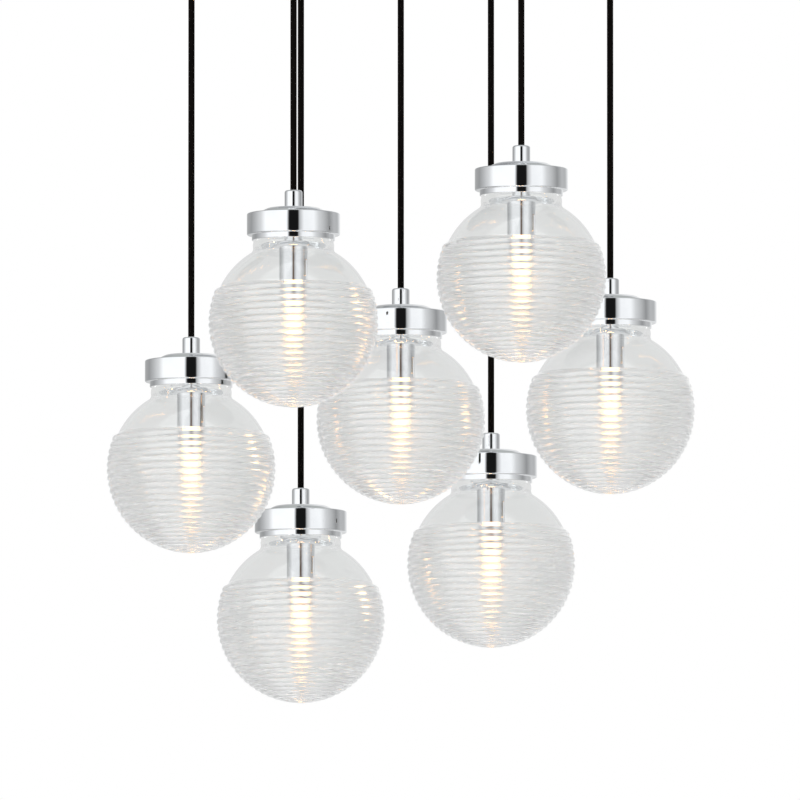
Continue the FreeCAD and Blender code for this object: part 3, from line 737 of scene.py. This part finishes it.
CHROME = chrome_material("polished_chrome", 0.015, 0.05)
SLEEVE_CHROME = chrome_material("sleeve_chrome", 0.10, 0.14)
GLASS = glass_material("bore_glass", coat=0.0)
OUTER_GLASS = glass_material("ribbed_glass", coat=1.0)
BULB = bulb_material("bulb_glass", alpha=0.75, seen=(1.0, 0.56, 0.24), seen_level=1.9, glint_level=30.0)
BULB_CORE = bulb_material("bulb_core", alpha=1.0, seen=(1.0, 0.90, 0.60), seen_level=2.6, glint_level=120.0)
CORD = cord_material()
ZINC = zinc_material()
BRASS = brass_material()
PLASTIC = plastic_material()
CERAMIC = ceramic_material()


# ---- Pieces ----

def piece(name, mesh, body, nodes, centre=(0, 0, 0)):
    """Object with a shared mesh at a place, which rides on a body and stands for nodes of the frame."""
    made = bpy.data.objects.new(name, mesh)
    bpy.context.scene.collection.objects.link(made)
    made.location = centre
    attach(made, body)
    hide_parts(*nodes)
    return made


def hang_cord(position, centre):
    """Straight cord from its outlet's pivot down to the pivot in the lamp's grip."""
    top = Vector((centre.x, centre.y, OUTLET_PIVOT * MM))
    bottom = Vector((centre.x, centre.y, centre.z + LAMP_PIVOT * MM))
    route = [top, (top + bottom) / 2, bottom]
    curve = bpy.data.curves.new(f"flex_{position}", "CURVE")
    curve.dimensions = "3D"
    curve.bevel_depth = CORD_RADIUS * MM
    curve.bevel_resolution = 8
    curve.use_fill_caps = True
    spline = curve.splines.new("NURBS")
    spline.points.add(len(route) - 1)
    for point, place in zip(spline.points, route):
        point.co = (*place, 1)
    spline.order_u = 3
    spline.use_endpoint_u = True
    curve.materials.append(CORD)
    made = bpy.data.objects.new(f"flex_{position}", curve)
    bpy.context.scene.collection.objects.link(made)
    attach(made, f"hanging_cord_{position}")
    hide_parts(f"cord_{position}")
    made.visible_transmission = False
    made.visible_glossy = False


# Degrees below the lamps, metres from them, and the height and middle of the view in metres
VIEW_BELOW = 5.5
VIEW_DISTANCE = 25.0
VIEW_HEIGHT = 0.710
VIEW_MIDDLE = (-0.0007, 0.0, -0.442)
VIEW_RAISE = 0.01766


def make_camera():
    """Long lens from a little below the lamps, as in the photograph."""
    below = radians(VIEW_BELOW)
    target = Vector(VIEW_MIDDLE) + VIEW_RAISE * Vector((0, -sin(below), cos(below)))
    data = bpy.data.cameras.new("camera")
    data.sensor_width = 36.0
    data.lens = data.sensor_width * VIEW_DISTANCE / VIEW_HEIGHT
    data.clip_end = 4 * VIEW_DISTANCE
    camera = bpy.data.objects.new("camera", data)
    bpy.context.scene.collection.objects.link(camera)
    away = Vector((0, -cos(below), -sin(below)))
    camera.location = target + away * VIEW_DISTANCE
    camera.rotation_euler = (-away).to_track_quat("-Z", "Y").to_euler()
    bpy.context.scene.camera = camera


make_camera()
for position in POSITIONS:
    hang_cord(position, lamp_centre(position))

lamp_grip = grip_mesh("grip", GRIP_RADIUS, CAP_TOP, CAP_TOP + GRIP_HEIGHT, CAP_TOP - LAMP_NIPPLE_LENGTH)
lamp_meshes = {
    "cord_grip": (lamp_grip, "chrome"),
    "cap": (cap_mesh(), "chrome"),
    "globe": (globe_mesh(), "globe_glass"),
    "lamp_sleeve": (sleeve_mesh(), "chrome"),
    "lampholder": (lampholder_mesh(), "ceramic"),
    "bulb": (bulb_mesh(), "bulb_glass"),
}
for position in POSITIONS:
    for node, (mesh, slot) in lamp_meshes.items():
        made = piece(f"{node}_visual_{position}", mesh, f"lamp_{position}", [f"{node}_{position}"],
                     lamp_centre(position))
        made.visible_glossy = node in ("bulb", "globe")

piece("canopy_pan", canopy_mesh(), "canopy", ["canopy_cover"])

outlet_nipple_end = CANOPY_FLOOR + OUTLET_NIPPLE_LENGTH
outlet = grip_mesh("outlet", OUTLET_GRIP_RADIUS, CANOPY_UNDERSIDE, OUTLET_MOUTH, outlet_nipple_end)
for position in POSITIONS:
    centre = lamp_centre(position)
    piece(f"outlet_grip_{position}", outlet, "canopy", ["outlet_grips"], (centre.x, centre.y, 0))

KEPT_NODES = {
    "ceiling_bracket": ZINC,
    "canopy_studs": ZINC,
    "canopy_cap_nuts": CHROME,
    "outlet_nuts": ZINC,
    "terminal_block": PLASTIC,
    "terminal_screws": BRASS,
    "terminal_block_screws": ZINC,
    "earth_screw": BRASS,
    "canopy_leads": CORD,
}
for name, material in KEPT_NODES.items():
    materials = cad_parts[name].data.materials
    materials.clear()
    materials.append(material)


# ---- Studio ----

FLOOR_LEVEL = -2.4
FLOOR_RADIUS = 6.0
# The ring of light panels round the object: degrees from the front, + to the right, and brightness
STUDIO_RING = [
    (-180, 0.66), (-155, 0.44), (-128, 0.38), (-108, 0.57), (-88, 0.82), (-74, 1.20), (-17, 1.25),
    (-11, 0.01), (12, 0.01), (15, 0.55), (26, 1.10), (52, 1.15), (66, 0.78), (84, 0.56), (100, 0.35),
    (120, 0.56), (140, 0.54), (156, 0.82), (166, 0.96), (174, 0.82), (180, 0.72),
]
# The same ring as a sleeve reflects it through its globe, with a brown gap in the middle
SLEEVE_RING = [
    (-180, 0.66), (-155, 0.5), (-128, 0.42), (-108, 0.58), (-88, 0.80), (-74, 1.0), (-17, 1.02), (-9, 0.72),
    (-5, (0.10, 0.055, 0.03)), (4, (0.12, 0.06, 0.03)), (8, 0.52), (26, 1.0), (52, 1.02), (66, 0.78),
    (84, 0.56), (100, 0.38), (120, 0.56), (140, 0.54), (160, 0.85), (180, 0.72),
]
# The same ring as the glass reflects it
GLASS_RING = [
    (-180, 0.8), (-100, 0.8), (-78, 1.0), (-68, 3.0), (-20, 3.0), (-12, 0.7), (14, 0.7), (24, 1.6),
    (50, 1.6), (62, 0.8), (100, 0.8), (180, 0.8),
]
PANEL_TINT = (0.985, 0.995, 1.0)
# The grey above the ring fades in between these degrees over the horizon
OVERHEAD = (0.50, 0.52, 0.51)
OVERHEAD_START = 35.0
OVERHEAD_END = 60.0
# The wide white screen seen through the glass: brightness against degrees off its middle line
BEHIND_GLASS_MIDDLE = 5.5
BEHIND_GLASS = {"From Min": 4.0, "From Max": 16.0, "To Min": 0.74, "To Max": 0.72}
# What lights the inside of a wall of glass
IN_GLASS = (0.74, 0.745, 0.75, 1)


def make_world():
    """White backdrop for the camera, and the ring of panels with a grey overhead for what reflects."""
    world = bpy.data.worlds.new("studio")
    bpy.context.scene.world = world
    world.use_nodes = True
    tree = world.node_tree
    tree.nodes.clear()
    add = node_adder(tree)
    calc = partial(calculated, tree)

    def background(color):
        node = add("ShaderNodeBackground")
        if isinstance(color, tuple):
            node.inputs["Color"].default_value = color
        else:
            tree.links.new(color, node.inputs["Color"])
        return node.outputs[0]

    direction = add("ShaderNodeTexCoord").outputs["Generated"]
    split = add("ShaderNodeSeparateXYZ")
    tree.links.new(direction, split.inputs[0])
    x, y, z = split.outputs
    azimuth = calc("ARCTAN2", x, calc("MULTIPLY", y, -1.0))
    share = calc("MULTIPLY_ADD", azimuth, 1 / (2 * pi), 0.5)

    def panels(places):
        ring = add("ShaderNodeValToRGB")
        tree.links.new(share, ring.inputs["Fac"])
        stops = ring.color_ramp.elements
        for i, (angle, brightness) in enumerate(places):
            stop = stops[i] if i < 2 else stops.new(1.0)
            stop.position = angle / 360 + 0.5
            if isinstance(brightness, tuple):
                stop.color = (*brightness, 1)
            else:
                stop.color = (*(brightness * part for part in PANEL_TINT), 1)
        return ring.outputs["Color"]

    elevation = calc("MULTIPLY", calc("ARCSINE", z), 180 / pi)
    rise = add("ShaderNodeMapRange", interpolation_type="SMOOTHSTEP")
    tree.links.new(elevation, rise.inputs["Value"])
    rise.inputs["From Min"].default_value = OVERHEAD_START
    rise.inputs["From Max"].default_value = OVERHEAD_END
    sky = add("ShaderNodeMix", data_type="RGBA")
    tree.links.new(rise.outputs["Result"], sky.inputs["Factor"])
    tree.links.new(panels(STUDIO_RING), sky.inputs["A"])
    sky.inputs["B"].default_value = (*OVERHEAD, 1)
    off_level = calc("ABSOLUTE", calc("SUBTRACT", elevation, BEHIND_GLASS_MIDDLE))
    behind = add("ShaderNodeMapRange", interpolation_type="SMOOTHSTEP")
    tree.links.new(off_level, behind.inputs["Value"])
    for key, value in BEHIND_GLASS.items():
        behind.inputs[key].default_value = value
    kinds = add("ShaderNodeLightPath")
    choice = background(sky.outputs["Result"])
    in_wall = calc("MODULO", kinds.outputs["Transmission Depth"], 2.0)
    inside = at_least(tree, kinds.outputs["Transmission Depth"], 2)
    for ray, seen in ((inside, background(panels(SLEEVE_RING))),
                      (in_wall, background(IN_GLASS)),
                      (kinds.outputs["Is Singular Ray"], background(panels(GLASS_RING))),
                      (kinds.outputs["Is Transmission Ray"], background(behind.outputs["Result"])),
                      (kinds.outputs["Is Camera Ray"], background((1, 1, 1, 1)))):
        mix = add("ShaderNodeMixShader")
        tree.links.new(ray, mix.inputs["Fac"])
        tree.links.new(choice, mix.inputs[1])
        tree.links.new(seen, mix.inputs[2])
        choice = mix.outputs[0]
    out = add("ShaderNodeOutputWorld")
    tree.links.new(choice, out.inputs["Surface"])


def make_floor():
    """Pale floor far below the lamps, open to the camera from underneath."""
    columns = 96
    vertices = [(0, 0, FLOOR_LEVEL)]
    for c in range(columns):
        angle = 2 * pi * c / columns
        vertices.append((FLOOR_RADIUS * cos(angle), FLOOR_RADIUS * sin(angle), FLOOR_LEVEL))
    mesh = bpy.data.meshes.new("floor")
    mesh.from_pydata(vertices, [], [(0, c + 1, (c + 1) % columns + 1) for c in range(columns)])
    material, tree, shader, add = new_material("pale_floor")
    grain = noise(tree, add, 4.0, 4.0)
    tint(tree, add, shader, grain.outputs["Fac"], (0.86, 0.86, 0.86), (0.88, 0.88, 0.88))
    shader.inputs["Roughness"].default_value = 0.7
    mesh.materials.append(material)
    made = bpy.data.objects.new("floor", mesh)
    bpy.context.scene.collection.objects.link(made)
    made.visible_glossy = False
    made.visible_transmission = False


make_world()
make_floor()
bpy.context.scene.view_settings.view_transform = "Standard"
